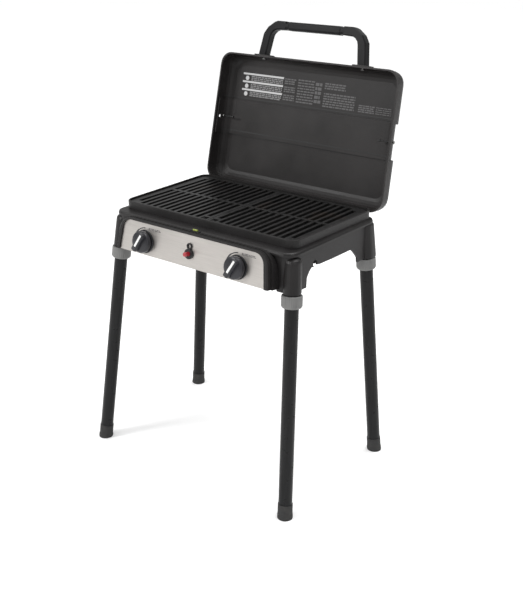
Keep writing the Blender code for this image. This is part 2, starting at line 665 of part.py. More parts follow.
def grate(side):
    """Half grate: bars front to back with two cross bars and a finger notch."""
    inner = 0.6 * MM
    front = BAND_FRONT_HALF - 6.0 * MM
    rear = BAND_REAR_HALF - 6.0 * MM
    low = BAND_FRONT_Y + 5.0 * MM
    high = BAND_REAR_Y - 7.5 * MM
    corners = [(side * inner, low), (side * front, low), (side * rear, high), (side * inner, high)]
    outline = rounded(corners[::side], [0.0, 20 * MM, 20 * MM, 0.0], 4)
    body = prism(outline, GRATE_SEAT_Z + GAP, GRATE_SEAT_Z + 11.0 * MM)
    pitch = 19.0 * MM
    for k in range(12):
        x = side * (16.0 * MM + pitch * k)
        x0, x1 = x - 5.6 * MM, x + 5.6 * MM
        shorten = 14.0 * MM if k == 11 else 0.0
        y0 = low + 10 * MM + shorten
        y1 = high - 10 * MM - shorten
        middle = 0.5 * (low + high)
        first = y0 + (22 * MM if k == 0 else 0.0)
        body = cut(body, box(x0, x1, first, middle - 4 * MM, 0.6, 0.65))
        body = cut(body, box(x0, x1, middle + 4 * MM, y1, 0.6, 0.65))
    notch = bar_y(9.0 * MM, low - 5 * MM, low + 24 * MM, side * 14.0 * MM, GRATE_SEAT_Z + 14.0 * MM, 20)
    return smooth(cut(body, notch), 25.0)


def burner():
    """Straight tube burner along +Y from its open mouth, with side slots and two feet."""
    outer = [(10.6, 0), (9.0, 16), (9.0, 270), (7.0, 274)]
    inner = [(9.4, -1), (7.8, 16), (7.8, 268)]
    shells = []
    for profile in (outer, inner):
        shells.append(loft([[(r * MM * math.cos(a), y * MM, r * MM * math.sin(a)) for a in turns(16)]
                            for r, y in profile]))
    body = cut(shells[0], shells[1])
    for k in range(7):
        y = (60 + 29 * k) * MM
        body = cut(body, box(-20 * MM, 20 * MM, y, y + 18 * MM, 1.2 * MM, 3.4 * MM))
    for y in (40 * MM, 240 * MM):
        body = add(body, box(-6 * MM, 6 * MM, y, y + 3 * MM, -15.6 * MM, -8.2 * MM))
    return smooth(body)


def turns(steps):
    """Equal angles around a circle."""
    return [2.0 * math.pi * i / steps for i in range(steps)]


def heat_tent():
    """Folded steel sheet over a burner, with legs at both ends."""
    thick = 1.2 * MM
    outline = [(-36 * MM, 0.0), (0.0, 18 * MM), (36 * MM, 0.0),
               (36 * MM, -thick), (0.0, 18 * MM - 1.34 * thick), (-36 * MM, -thick)]
    body = prism(outline, -118 * MM, 172 * MM, "y")
    for y in (-116 * MM, 168.8 * MM):
        for side in (1, -1):
            x0, x1 = sorted((side * 27 * MM, side * 34.4 * MM))
            body = add(body, box(x0, x1, y, y + thick, -23.6 * MM, 0.3 * MM))
    return smooth(body)


def valve_body():
    """Angle valve: bored block with a raised outlet nozzle."""
    body = box(-11 * MM, 11 * MM, 7 * MM, 32 * MM, -13 * MM, 28 * MM)
    body = add(body, bar_y(4.0 * MM, 30 * MM, 44 * MM, 0.0, 21 * MM))
    body = cut(body, bar_y(6.3 * MM, 0.0, 26 * MM, 0.0, 0.0, 20))
    body = cut(body, bar_y(0.9 * MM, 22 * MM, 50 * MM, 0.0, 21 * MM, 8))
    return smooth(body)


def valve_plug():
    """Brass plug turned by the stem."""
    body = bar_y(6.0 * MM, 12.0 * MM, 25.6 * MM, 0.0, 0.0, 20)
    return smooth(cut(body, bar_y(3.3 * MM, 8.0 * MM, 23.0 * MM, 0.0, 0.0, 16)))


def manifold():
    """Gas tube under both valves with a return to the inlet."""
    path = [(-160, 20.0, -19.0), (205, 20.0, -19.0), (205, 112.0, -4.5)]
    points = [Vector((x * MM, y * MM, z * MM)) for x, y, z in path]
    rings = []
    for k, point in enumerate(points):
        before = (point - points[k - 1]).normalized() if k else (points[1] - points[0]).normalized()
        after = (points[k + 1] - point).normalized() if k + 1 < len(points) else before
        middle = (before + after).normalized()
        stretch = 1.0 / max(middle.dot(before), 0.2)
        up = Vector((0.0, 0.0, 1.0))
        across = middle.cross(up).normalized()
        lift = across.cross(middle).normalized()
        rings.append([point + across * (5.0 * MM * stretch * math.cos(a)) + lift * (5.0 * MM * math.sin(a))
                      for a in turns(14)])
    return smooth(loft(rings))


def inlet_fitting():
    """Brass inlet with a hexagon and a bored thread end along +X."""
    hexagon = [(9.0 * MM * math.cos(a), 9.0 * MM * math.sin(a)) for a in turns(6)]
    body = prism(hexagon, 0.0, 8 * MM, "x")
    body = add(body, bar_x(6.5 * MM, 6 * MM, 20 * MM, 0.0, 0.0, 20))
    body = cut(body, bar_x(4.2 * MM, 5 * MM, 25 * MM, 0.0, 0.0, 16))
    return smooth(body)


def electrode():
    """Ceramic spark electrode standing on the tub floor."""
    return smooth(lathe([(3.0 * MM, 0.0), (3.0 * MM, 16 * MM), (2.2 * MM, 17 * MM), (1.0 * MM, 17.2 * MM),
                         (1.0 * MM, 22 * MM)], 12))


def grease_tray():
    """Shallow tray with side lips that hang on the rails."""
    body = box(-88 * MM, 88 * MM, -52 * MM, 72 * MM, 543.5 * MM, 560 * MM)
    body = cut(body, box(-86.8 * MM, 86.8 * MM, -50.8 * MM, 70.8 * MM, 545 * MM, 570 * MM))
    for side in (1, -1):
        x0, x1 = sorted((side * 87 * MM, side * 98.2 * MM))
        body = add(body, box(x0, x1, -52 * MM, 66 * MM, 541.6 * MM, 543.8 * MM))
    return smooth(body)


def leg_tube(direction):
    """Leg tube along its axis, origin at the collar centre, with small spring-button holes."""
    top = (LEG_TOP_Z - COLLAR_Z) / direction.z
    bottom = -(COLLAR_Z - FOOT_FLOOR) / direction.z + 4.0 * MM
    inner = LEG_RADIUS - LEG_WALL
    body = tube([(LEG_RADIUS, bottom), (LEG_RADIUS, top), (inner, top), (inner, bottom)], 24)
    for depth in (40 * MM, 260 * MM, 382 * MM):
        body = cut(body, bar_x(2.0 * MM, 10 * MM, 20 * MM, 0.0, -depth, 10))
    return smooth(body)


def foot_cap(centre, direction):
    """Foot cap round the leg axis, cut flat on the floor."""
    low = -centre.z / direction.z
    profile = [(18.0 * MM, low - 6 * MM), (18.0 * MM, low + 7 * MM), (17.2 * MM, low + 12 * MM),
               (17.2 * MM, low + FOOT_HEIGHT)]
    body = lathe(profile, 24)
    socket = [(LEG_RADIUS + GAP, low + FOOT_FLOOR + 3 * MM), (LEG_RADIUS + GAP, low + 60 * MM)]
    body = cut(body, lathe(socket, 24))
    floor = box(-0.1, 0.1, -0.1, 0.1, -0.1, 0.0)
    ground = Matrix.Translation(on_axis(centre, direction, 0.0))
    return smooth(cut(body, floor, matrix=along(centre, direction).inverted() @ ground))


def collar():
    """Ribbed twist-lock collar with a chamfered lower edge."""
    def ring(radius, z, depth):
        points = []
        for k in range(COLLAR_RIBS * 2):
            wave = depth if k % 2 else 0.0
            angle = math.pi * k / COLLAR_RIBS
            points.append(((radius - wave) * math.cos(angle), (radius - wave) * math.sin(angle), z))
        return points

    half = COLLAR_HALF_HEIGHT
    rib = 1.3 * MM
    outer = [ring(COLLAR_RADIUS - 2.5 * MM, -half, 0.0), ring(COLLAR_RADIUS, -half + 3 * MM, rib),
             ring(COLLAR_RADIUS, half - 1 * MM, rib), ring(COLLAR_RADIUS - 1.0 * MM, half, 0.0)]
    body = loft(outer)
    for radius, low, high in ((LEG_RADIUS + 0.5 * MM, -half - 5 * MM, 0.0),
                              (SPIGOT_RADIUS + GAP, -half + 6 * MM, half + 5 * MM)):
        body = cut(body, lathe([(radius, low), (radius, high)], 24))
    return smooth(body)


def mirror_name(side):
    """Left is the side at negative X."""
    return "right" if side > 0 else "left"


def build():
    """Make every node of the stove."""
    clear_scene()
    cast = material("textured_black_casting", (0.035, 0.034, 0.034), 0.0, 0.55)
    enamel = material("black_iron", (0.02, 0.02, 0.02), 0.1, 0.5)
    steel = material("brushed_steel", (0.55, 0.53, 0.5), 1.0, 0.35)
    moulded = material("black_plastic", (0.045, 0.045, 0.047), 0.0, 0.45)
    grey = material("grey_plastic", (0.24, 0.24, 0.23), 0.0, 0.5)
    white = material("white_plastic", (0.78, 0.78, 0.78), 0.0, 0.4)
    red = material("red_plastic", (0.45, 0.02, 0.03), 0.0, 0.35)
    brass = material("brass", (0.6, 0.42, 0.16), 1.0, 0.35)
    legs = material("painted_tube", (0.026, 0.026, 0.026), 0.3, 0.45)
    rubber = material("black_rubber", (0.02, 0.02, 0.02), 0.0, 0.8)
    vial = material("vial_liquid", (0.35, 0.38, 0.12), 0.0, 0.15)
    ceramic = material("ceramic", (0.8, 0.78, 0.72), 0.0, 0.4)
    zinc = material("zinc_steel", (0.5, 0.5, 0.5), 1.0, 0.4)

    root = empty("stove_root", location=(0.0, STOVE_SHIFT_Y, 0.0))
    place("cook_box", cook_box(), cast, root)
    console = empty("console_frame", root, CONSOLE_ORIGIN, (-CONSOLE_TILT, 0.0, 0.0))
    place("console_housing", console_housing(), cast, console)
    place("console_panel", console_panel(), steel, console)
    toward_user = (math.radians(90.0), 0.0, 0.0)
    for side in (-1, 1):
        name = mirror_name(side)
        spot = (side * KNOB_X, 0.0, 0.0)
        ring = tube([(27.6 * MM, GAP), (27.6 * MM, 1.8 * MM), (26.0 * MM, 3.0 * MM), (9.0 * MM, 3.0 * MM),
                     (9.0 * MM, GAP)], 40)
        place(f"knob_bezel_{name}", smooth(ring), moulded, console, spot, toward_user)
        place(f"valve_body_{name}", valve_body(), brass, console, spot)
        place(f"valve_plug_{name}", valve_plug(), brass, console, spot)
        stem = lathe([(3.0 * MM, -19.0 * MM), (3.0 * MM, -6.9 * MM), (5.8 * MM, -6.9 * MM),
                      (5.8 * MM, -5.0 * MM), (3.0 * MM, -5.0 * MM), (3.0 * MM, 17.0 * MM)], 16)
        place(f"valve_stem_{name}", smooth(stem), zinc, console, spot, toward_user)
        turn = Matrix.Rotation(KNOB_REST, 4, "Y") @ Matrix.Rotation(math.radians(90.0), 4, "X")
        front = (side * KNOB_X, -7.2 * MM, 0.0)
        handle = place(f"knob_{name}", knob(), moulded, console, front, turn.to_euler())
        strip = box(-2.6 * MM, 2.6 * MM, POINTER_LOW, POINTER_HIGH, KNOB_DEPTH - 0.9 * MM,
                    KNOB_DEPTH + 0.2 * MM)
        place(f"knob_pointer_{name}", strip, white, handle)
    place("igniter_bezel", igniter_bezel(), moulded, console)
    barrel = tube([(7.6 * MM, 1.5 * MM), (7.6 * MM, 30 * MM), (5.9 * MM, 30 * MM), (5.9 * MM, 1.5 * MM)], 24)
    away = (math.radians(-90.0), 0.0, 0.0)
    place("igniter_barrel", smooth(barrel), moulded, console, (0.0, 0.0, 0.0), away)
    button = lathe([(BUTTON_RADIUS, -20.0 * MM), (BUTTON_RADIUS, BUTTON_REACH - 1.5 * MM),
                    (BUTTON_RADIUS - 1.2 * MM, BUTTON_REACH)], 24)
    place("igniter_button", smooth(button), red, console, (0.0, 0.0, 0.0), toward_user)
    place("gas_manifold", manifold(), brass, console)
    holder = box(-12.6 * MM, 12.6 * MM, 10.4 * MM, 18.6 * MM, 47.8 * MM, 51.0 * MM)
    trough = bar_x(2.9 * MM, -6.8 * MM, 6.8 * MM, 14.5 * MM, 52.0 * MM, 16)
    place("level_holder", smooth(cut(holder, trough)), moulded, console)
    place("level_vial", smooth(bar_x(2.5 * MM, -6.4 * MM, 6.4 * MM, 14.5 * MM, 52.0 * MM, 16)), vial, console)
    place("gas_inlet", inlet_fitting(), brass, root, (210.4 * MM, -66.0 * MM, 548.0 * MM))
    place("grease_tray", grease_tray(), steel, root)

    for side in (-1, 1):
        name = mirror_name(side)
        place(f"grate_{name}", grate(side), enamel, root)
        place(f"burner_{name}", burner(), steel, root, (side * KNOB_X, -128.0 * MM, 584.0 * MM))
        place(f"heat_tent_{name}", heat_tent(), steel, root, (side * KNOB_X, 0.0, 592.0 * MM))
        place(f"electrode_{name}", electrode(), ceramic, root,
              (side * (KNOB_X - 19.0 * MM), -60.0 * MM, FLOOR_TOP_Z + GAP))
        for front in (True, False):
            where = ("front_" if front else "rear_") + name
            centre, direction = leg_axis(side, front)
            turn = along((0.0, 0.0, 0.0), direction).to_euler()
            place(f"leg_{where}", leg_tube(direction), legs, root, centre, turn)
            place(f"foot_{where}", foot_cap(centre, direction), rubber, root, centre, turn)
            place(f"collar_{where}", collar(), grey, root, centre, turn)

    lean = math.radians(90.0) - LID_LEAN
    lid = place("lid", lid_shell(), cast, root, (0.0, HINGE_Y, HINGE_Z), (lean, 0.0, 0.0))
    for side in (-1, 1):
        name = mirror_name(side)
        place(f"handle_bracket_{name}", handle_bracket(side), moulded, lid)
        head = LID_EDGE + 0.3234
        place(f"handle_screw_{name}", screw(4.2 * MM, 2.4 * MM, 1.7 * MM, 26.5 * MM), zinc, lid,
              (side * HANDLE_X, head, LID_PLANE - 27 * MM), (math.radians(-90.0), 0.0, 0.0))
        x0, x1 = sorted((side * (HINGE_X - 17.0 * MM), side * (HINGE_X + 17.0 * MM)))
        near, far = sorted((side * (HINGE_X - 19.0 * MM), side * (HINGE_X - 15.2 * MM)))
        pin = add(bar_x(PIN_RADIUS, x0, x1, 0.0, 0.0, 16), bar_x(4.0 * MM, near, far, 0.0, 0.0, 16))
        place(f"hinge_pin_{name}", smooth(pin), zinc, root, (0.0, HINGE_Y, HINGE_Z))
        place(f"lid_peg_{name}", lid_peg(side), zinc, lid)
    place("handle_grip", handle_grip(), moulded, lid)


build()
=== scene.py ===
"""Looks of the camping stove: procedural materials, finer pieces, floor, lights and camera."""
import math

import bmesh
import bpy
from mathutils import Matrix, Vector


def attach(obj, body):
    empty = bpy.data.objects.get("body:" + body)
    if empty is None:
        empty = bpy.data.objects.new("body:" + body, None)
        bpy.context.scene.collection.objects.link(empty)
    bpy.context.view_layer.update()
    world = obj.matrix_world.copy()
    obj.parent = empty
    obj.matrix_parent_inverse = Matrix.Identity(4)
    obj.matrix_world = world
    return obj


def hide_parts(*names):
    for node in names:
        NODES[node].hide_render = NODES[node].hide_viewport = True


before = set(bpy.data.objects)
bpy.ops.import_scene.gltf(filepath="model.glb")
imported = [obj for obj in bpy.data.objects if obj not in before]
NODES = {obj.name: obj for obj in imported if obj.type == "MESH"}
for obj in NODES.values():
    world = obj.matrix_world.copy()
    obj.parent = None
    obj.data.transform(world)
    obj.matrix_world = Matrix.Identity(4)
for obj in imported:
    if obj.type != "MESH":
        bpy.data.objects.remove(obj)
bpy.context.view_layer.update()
MM = 0.001

# Frames of the moving and tilted parts, in the row frame.
CONSOLE_ORIGIN = Vector((0.0, -0.22818, 0.5662))
CONSOLE_TILT = math.radians(8.7)
CONSOLE = Matrix.Translation(CONSOLE_ORIGIN) @ Matrix.Rotation(-CONSOLE_TILT, 4, "X")
HINGE = Vector((0.0, 0.14262, 0.6114))
LID_LEAN = math.radians(11.35)
LID = Matrix.Translation(HINGE) @ Matrix.Rotation(math.radians(90.0) - LID_LEAN, 4, "X")
LID_EDGE = 6.0 * MM
LID_PLANE = -2.1 * MM
LEGS = {
    "front_left": ((-0.2554, -0.18988, 0.5047), (-0.290, -0.24668, 0.0)),
    "front_right": ((0.2554, -0.18988, 0.5047), (0.290, -0.24668, 0.0)),
    "rear_left": ((-0.2548, 0.11422, 0.5047), (-0.297, 0.13472, 0.0)),
    "rear_right": ((0.2548, 0.11422, 0.5047), (0.297, 0.13472, 0.0)),
}
KNOB_X = 137.0 * MM
KNOB_REST = math.radians(30.0)
KNOB_FRONT = -7.2 * MM
POINTER_LOW = -11.5 * MM
POINTER_HIGH = 21.8 * MM

# Lid inside, measured from its mouth plane.
LID_DEPTH = 47.4
LID_BAND_SINK = 4.0
LID_CORNER = 25.4
LID_WALL_INSET = 4.1
# Lid band creases that carry strips of painted shadow: distance across the lid, and whether on the sunken
# band.
LID_SEAM_SHADOWS = ((225.0, False), (217.2, False), (139.0, True), (129.4, False))
SEAM_SHADOW_WIDTH = 3.0

# Printed marks stand this high above the surface that carries them.
PRINT_HEIGHT = 0.08 * MM

# Camera: sensor and focal length in millimetres, angles in degrees, shift as a share of the sensor.
SENSOR_WIDTH = 36.0
FOCAL_LENGTH = 56.135
LENS_SHIFT_X = 0.0387
LENS_SHIFT_Y = 0.0052
CAMERA_PLACE = (1.3057, -1.6978, 1.2716)
CAMERA_DOWN = 22.71
CAMERA_TURN = 38.42


# ---------------------------------------------------------------- materials

class Shader:
    """Small helper around one material's node tree."""

    def __init__(self, name, colour, metallic, roughness):
        self.made = bpy.data.materials.new(name)
        self.made.use_nodes = True
        self.tree = self.made.node_tree
        self.surface = self.tree.nodes["Principled BSDF"]
        self.surface.inputs["Base Color"].default_value = (*colour, 1.0)
        self.surface.inputs["Metallic"].default_value = metallic
        self.surface.inputs["Roughness"].default_value = roughness
        self.made.diffuse_color = (*colour, 1.0)
        self.coords = self.add("ShaderNodeTexCoord").outputs["Object"]

    def add(self, kind, **values):
        node = self.tree.nodes.new(kind)
        for key, value in values.items():
            setattr(node, key, value)
        return node

    def link(self, start, end):
        self.tree.links.new(start, end)

    def stretched(self, scale):
        """Object coordinates multiplied per axis."""
        node = self.add("ShaderNodeMapping")
        node.inputs["Scale"].default_value = scale
        self.link(self.coords, node.inputs["Vector"])
        return node.outputs["Vector"]

    def noise(self, scale, detail=2.0, rough=0.5, vector=None):
        node = self.add("ShaderNodeTexNoise")
        node.inputs["Scale"].default_value = scale
        node.inputs["Detail"].default_value = detail
        node.inputs["Roughness"].default_value = rough
        self.link(vector or self.coords, node.inputs["Vector"])
        return node.outputs["Fac"]

    def cells(self, scale, vector=None):
        node = self.add("ShaderNodeTexVoronoi")
        node.inputs["Scale"].default_value = scale
        self.link(vector or self.coords, node.inputs["Vector"])
        return node.outputs["Distance"]

    def ramp(self, value, low, high, start, end):
        """Remap a value; the result runs from start to end."""
        node = self.add("ShaderNodeMapRange")
        node.inputs["From Min"].default_value = low
        node.inputs["From Max"].default_value = high
        node.inputs["To Min"].default_value = start
        node.inputs["To Max"].default_value = end
        self.link(value, node.inputs["Value"])
        return node.outputs["Result"]

    def blend(self, factor, one, two):
        """Mix two colours; each is a tuple or a socket."""
        node = self.add("ShaderNodeMix", data_type="RGBA")
        self.link(factor, node.inputs["Factor"])
        for index, value in ((6, one), (7, two)):
            if isinstance(value, tuple):
                node.inputs[index].default_value = (*value, 1.0)
            else:
                self.link(value, node.inputs[index])
        return node.outputs[2]

    def math(self, operation, one, two):
        node = self.add("ShaderNodeMath", operation=operation)
        for socket, value in zip(node.inputs, (one, two)):
            if isinstance(value, (int, float)):
                socket.default_value = value
            else:
                self.link(value, socket)
        return node.outputs["Value"]

    def colour(self, socket):
        self.link(socket, self.surface.inputs["Base Color"])

    def roughness(self, socket):
        self.link(socket, self.surface.inputs["Roughness"])

    def bump(self, height, strength, distance):
        node = self.add("ShaderNodeBump")
        node.inputs["Strength"].default_value = strength
        node.inputs["Distance"].default_value = distance
        self.link(height, node.inputs["Height"])
        self.link(node.outputs["Normal"], self.surface.inputs["Normal"])


def casting_paint(name, tone, rough, gloss):
    """Black textured paint: fine pebbled grain with slight dust and tone drift."""
    shade = Shader(name, tone, 0.0, rough)
    grain = shade.noise(1500.0, 3.0, 0.6)
    pebble = shade.cells(720.0)
    drift = shade.noise(9.0, 3.0)
    light = tuple(min(1.0, c * 1.25 + 0.002) for c in tone)
    dark = tuple(c * 0.82 for c in tone)
    base = shade.blend(shade.ramp(drift, 0.3, 0.7, 0.0, 1.0), dark, light)
    speck = shade.blend(shade.ramp(grain, 0.60, 0.78, 0.0, 0.55), base, tuple(c * 2.0 + 0.006 for c in tone))
    shade.colour(speck)
    shade.roughness(shade.ramp(drift, 0.25, 0.75, rough - 0.06, rough + 0.07))
    shade.bump(shade.math("ADD", grain, shade.math("MULTIPLY", pebble, 0.8)), 0.30, 0.0004)
    shade.surface.inputs["Specular IOR Level"].default_value = gloss
    return shade.made


def brushed_metal(name, tone, rough, scale, contrast):
    """Metal with fine streaks along X."""
    shade = Shader(name, tone, 1.0, rough)
    fine = shade.noise(1.0, 4.0, 0.7, shade.stretched(scale))
    broad = shade.noise(7.0, 2.0)
    low = tuple(c * (1.0 - contrast) for c in tone)
    high = tuple(min(1.0, c * (1.0 + contrast * 0.6)) for c in tone)
    shade.colour(shade.blend(shade.ramp(fine, 0.3, 0.7, 0.0, 1.0), low, high))
    streaks = shade.ramp(fine, 0.3, 0.7, -0.05, 0.06)
    patches = shade.ramp(broad, 0.3, 0.7, -0.03, 0.03)
    mixed = shade.math("ADD", streaks, patches)
    shade.roughness(shade.math("ADD", mixed, rough))
    shade.bump(fine, 0.10, 0.0002)
    return shade.made


def moulding(name, tone, rough, grain_scale=1800.0, strength=0.12, gloss=0.4):
    """Moulded plastic with a light spark-eroded grain."""
    shade = Shader(name, tone, 0.0, rough)
    grain = shade.noise(grain_scale, 2.0, 0.6)
    drift = shade.noise(25.0, 2.0)
    low = tuple(c * 0.86 for c in tone)
    high = tuple(min(1.0, c * 1.14 + 0.002) for c in tone)
    shade.colour(shade.blend(shade.ramp(drift, 0.3, 0.7, 0.0, 1.0), low, high))
    shade.roughness(shade.ramp(drift, 0.3, 0.7, rough - 0.05, rough + 0.06))
    shade.bump(grain, strength, 0.0003)
    shade.surface.inputs["Specular IOR Level"].default_value = gloss
    return shade.made


def leg_paint(name):
    """Smooth satin black tube paint with faint run marks and scuffs."""
    tone = (0.012, 0.012, 0.0125)
    shade = Shader(name, tone, 0.0, 0.36)
    runs = shade.noise(1.0, 3.0, 0.6, shade.stretched((160.0, 160.0, 9.0)))
    scuff = shade.noise(60.0, 6.0, 0.75)
    base = shade.blend(shade.ramp(runs, 0.3, 0.7, 0.0, 1.0), (0.006, 0.006, 0.0064), (0.011, 0.011, 0.0114))
    shade.colour(shade.blend(shade.ramp(scuff, 0.68, 0.80, 0.0, 0.5), base, (0.025, 0.025, 0.025)))
    shade.roughness(shade.ramp(scuff, 0.3, 0.75, 0.24, 0.40))
    shade.bump(runs, 0.06, 0.0005)
    shade.surface.inputs["Specular IOR Level"].default_value = 0.18
    return shade.made


def grate_enamel(name):
    """Black enamelled iron: mottled, slightly rough, browned in places by heat."""
    tone = (0.014, 0.013, 0.013)
    shade = Shader(name, tone, 0.0, 0.4)
    mottle = shade.noise(120.0, 5.0, 0.65)
    heat = shade.noise(14.0, 3.0)
    spots = shade.ramp(mottle, 0.35, 0.65, 0.0, 1.0)
    base = shade.blend(spots, (0.006, 0.006, 0.006), (0.013, 0.0125, 0.0125))
    shade.colour(shade.blend(shade.ramp(heat, 0.58, 0.78, 0.0, 0.55), base, (0.022, 0.016, 0.012)))
    shade.roughness(shade.ramp(mottle, 0.3, 0.7, 0.30, 0.52))
    shade.bump(mottle, 0.35, 0.0006)
    shade.surface.inputs["Specular IOR Level"].default_value = 0.3
    return shade.made


def rubber(name):
    """Matt black rubber with a dusty bloom."""
    tone = (0.018, 0.018, 0.018)
    shade = Shader(name, tone, 0.0, 0.78)
    bloom = shade.noise(45.0, 4.0)
    grain = shade.noise(2200.0, 2.0)
    shade.colour(shade.blend(shade.ramp(bloom, 0.45, 0.8, 0.0, 0.7), tone, (0.05, 0.048, 0.045)))
    shade.roughness(shade.ramp(bloom, 0.3, 0.7, 0.70, 0.88))
    shade.bump(grain, 0.2, 0.0003)
    return shade.made


def glossy(name, tone, rough):
    """Hard gloss plastic with tiny moulding waves."""
    shade = Shader(name, tone, 0.0, rough)
    wave = shade.noise(260.0, 2.0)
    low = tuple(c * 0.9 for c in tone)
    shade.colour(shade.blend(shade.ramp(wave, 0.3, 0.7, 0.0, 1.0), low, tone))
    shade.roughness(shade.ramp(wave, 0.3, 0.7, rough - 0.04, rough + 0.05))
    shade.bump(wave, 0.05, 0.0003)
    shade.surface.inputs["Coat Weight"].default_value = 0.4
    return shade.made


def print_or_shadow_ink(name, tone):
    """Flat printed ink with slight wear; the same ink also makes the strips of painted shadow in the lid
    creases.
    """
    shade = Shader(name, tone, 0.0, 0.55)
    wear = shade.noise(700.0, 3.0)
    shade.colour(shade.blend(shade.ramp(wear, 0.55, 0.8, 0.0, 0.5), tone, tuple(c * 0.6 for c in tone)))
    shade.bump(wear, 0.1, 0.0001)
    return shade.made


def vial_liquid(name):
    """Tinted liquid with paler swirls."""
    tone = (0.13, 0.16, 0.015)
    shade = Shader(name, tone, 0.0, 0.12)
    swirl = shade.noise(420.0, 2.0)
    shade.colour(shade.blend(shade.ramp(swirl, 0.3, 0.75, 0.0, 1.0), tone, (0.30, 0.36, 0.05)))
    shade.roughness(shade.ramp(swirl, 0.3, 0.7, 0.08, 0.18))
    shade.surface.inputs["Coat Weight"].default_value = 1.0
    return shade.made


CASTING = casting_paint("casting_paint", (0.0150, 0.0140, 0.0140), 0.36, 0.20)
LID_PAINT = casting_paint("lid_paint", (0.0200, 0.0182, 0.0180), 0.40, 0.22)
STEEL = brushed_metal("brushed_steel", (0.50, 0.475, 0.45), 0.42, (14.0, 900.0, 900.0), 0.12)
SHEET = brushed_metal("burner_steel", (0.34, 0.32, 0.30), 0.45, (60.0, 500.0, 500.0), 0.22)
BRASS = brushed_metal("machined_brass", (0.62, 0.42, 0.16), 0.36, (300.0, 300.0, 40.0), 0.14)
ZINC = brushed_metal("zinc_plate", (0.50, 0.50, 0.49), 0.38, (40.0, 400.0, 400.0), 0.16)
PLASTIC = moulding("black_moulding", (0.014, 0.014, 0.0155), 0.36, gloss=0.3)
KNOB_PLASTIC = moulding("knob_moulding", (0.020, 0.020, 0.024), 0.34, gloss=0.32)
HANDLE_PLASTIC = moulding("handle_moulding", (0.0065, 0.0065, 0.0072), 0.36, 1300.0, 0.18, 0.12)
GREY = moulding("grey_moulding", (0.145, 0.145, 0.142), 0.46, 1500.0, 0.10)
WHITE = glossy("white_marker", (0.76, 0.76, 0.75), 0.35)
RED = glossy("red_button", (0.33, 0.010, 0.020), 0.30)
LEG = leg_paint("leg_paint")
IRON = grate_enamel("grate_enamel")
RUBBER = rubber("foot_rubber")
VIAL = vial_liquid("vial_liquid")
CERAMIC = glossy("glazed_ceramic", (0.78, 0.76, 0.70), 0.25)
BLACKED = moulding("blacked_steel", (0.010, 0.010, 0.010), 0.45)
DARK_INK = print_or_shadow_ink("dark_print", (0.030, 0.030, 0.032))
GREY_INK = print_or_shadow_ink("grey_print", (0.080, 0.078, 0.079))
MIDDLE_INK = print_or_shadow_ink("middle_print", (0.20, 0.20, 0.20))
PALE_INK = print_or_shadow_ink("pale_print", (0.52, 0.52, 0.52))
# Near-black ink for the strips in the lid band creases: painted shadow, not print.
SEAM_PAINTED_SHADOW = print_or_shadow_ink("seam_shadow", (0.0045, 0.0042, 0.0042))


# ---------------------------------------------------------------- mesh helpers

def finished(bm, name, slot, matrix=None, smooth=True):
    """Link a bmesh as a piece placed by a matrix."""
    bmesh.ops.recalc_face_normals(bm, faces=bm.faces[:])
    mesh = bpy.data.meshes.new(name)
    bm.to_mesh(mesh)
    bm.free()
    if matrix is not None:
        mesh.transform(matrix)
    if smooth:
        mesh.shade_smooth()
        mesh.set_sharp_from_angle(angle=math.radians(38.0))
    mesh.materials.append(slot)
    item = bpy.data.objects.new(name, mesh)
    bpy.context.scene.collection.objects.link(item)
    return item


def loft_into(bm, rings, close=True, wrap=False):
    """Skin through rings of equal point count inside an existing bmesh."""
    rows = [[bm.verts.new(p) for p in ring] for ring in rings]
    count = len(rows[0])
    pairs = list(zip(rows, rows[1:])) + ([(rows[-1], rows[0])] if wrap else [])
    for low, high in pairs:
        for i in range(count):
            j = (i + 1) % count
            bm.faces.new((low[i], low[j], high[j], high[i]))
    if close and not wrap:
        bm.faces.new(rows[0][::-1])
        bm.faces.new(rows[-1])


def ring(radius, z, steps, wave=None):
    """Circle of points about Z; wave gives a change of radius at each angle."""
    points = []
    for i in range(steps):
        angle = 2.0 * math.pi * i / steps
        here = radius + (wave(angle) if wave else 0.0)
        points.append((here * math.cos(angle), here * math.sin(angle), z))
    return points


def rounded_rect(half_x, half_y, radius, steps=6):
    """Rounded rectangle outline about the origin."""
    points = []
    corners = ((half_x, half_y, 0.0), (-half_x, half_y, 90.0),
               (-half_x, -half_y, 180.0), (half_x, -half_y, 270.0))
    for x, y, start in corners:
        cx = x - math.copysign(radius, x)
        cy = y - math.copysign(radius, y)
        for k in range(steps + 1):
            angle = math.radians(start + 90.0 * k / steps)
            points.append((cx + radius * math.cos(angle), cy + radius * math.sin(angle)))
    return points


def along(point, direction):
    """Matrix that puts local Z on a direction through a point."""
    turn = Vector((0.0, 0.0, 1.0)).rotation_difference(Vector(direction))
    return Matrix.Translation(point) @ turn.to_matrix().to_4x4()


# ---------------------------------------------------------------- carried-over nodes

def repaint():
    """Give every carried-over CAD node its procedural material."""
    by_name = {
        "cook_box": CASTING, "console_housing": CASTING, "lid": LID_PAINT, "console_panel": STEEL,
        "grease_tray": SHEET, "igniter_bezel": PLASTIC, "igniter_barrel": PLASTIC, "level_holder": PLASTIC,
        "handle_grip": HANDLE_PLASTIC, "igniter_button": RED, "gas_manifold": BRASS, "gas_inlet": BRASS,
        "level_vial": VIAL,
    }
    by_start = {
        "burner_": SHEET, "heat_tent_": SHEET, "knob_pointer_": WHITE, "knob_bezel_": PLASTIC,
        "knob_": KNOB_PLASTIC, "handle_bracket_": HANDLE_PLASTIC, "handle_screw_": ZINC, "hinge_pin_": ZINC,
        "lid_peg_": BLACKED, "valve_body_": BRASS, "valve_plug_": BRASS, "valve_stem_": ZINC,
        "electrode_": CERAMIC, "grate_": IRON, "leg_": LEG, "foot_": RUBBER, "collar_": GREY,
    }
    for name, node in NODES.items():
        chosen = by_name.get(name)
        if chosen is None:
            chosen = next(slot for start, slot in by_start.items() if name.startswith(start))
        for place in node.material_slots:
            place.material = chosen


repaint()


# ---------------------------------------------------------------- knobs

